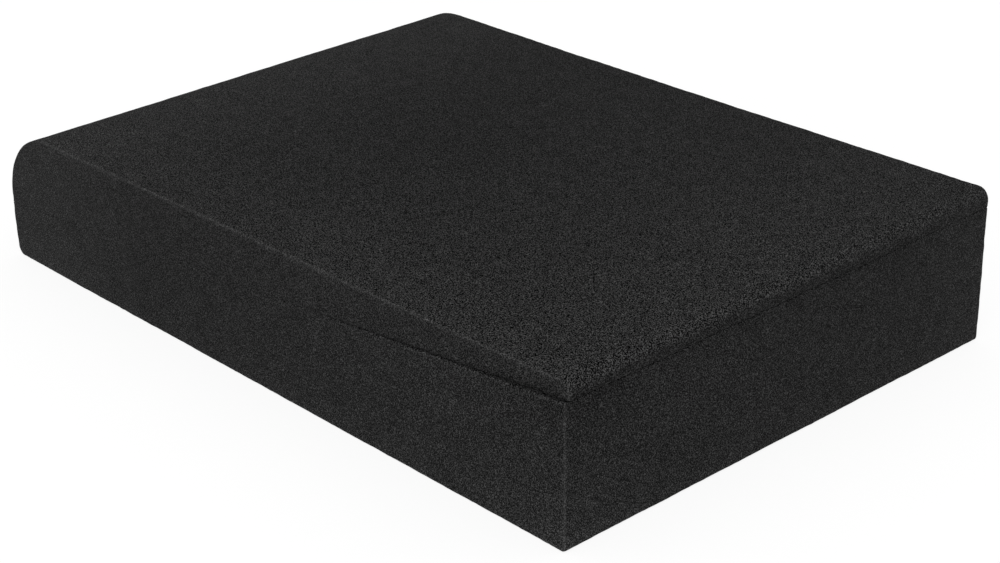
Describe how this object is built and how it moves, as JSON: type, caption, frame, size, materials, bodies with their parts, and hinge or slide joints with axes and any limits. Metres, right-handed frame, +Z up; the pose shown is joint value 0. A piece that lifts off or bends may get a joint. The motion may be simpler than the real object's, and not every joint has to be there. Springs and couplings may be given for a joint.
{
  "type": "speaker isolation pad",
  "caption": "Rectangular foam pad for standing a desktop loudspeaker on: a sloped base wedge with a matching wedge lying on it, rounded at its thick end.",
  "frame": {"origin": "middle of the underside, on the surface that the pad stands on", "axes": "+Z up, +X along the pad's length towards the base wedge's thick end, +Y across its width towards the straight side"},
  "size_m": [0.33, 0.225, 0.0634],
  "materials": {
    "foam": "matte"
  },
  "bodies": {
    "root": {"base_wedge": "foam", "top_wedge": "foam"}
  },
  "joints": []
}
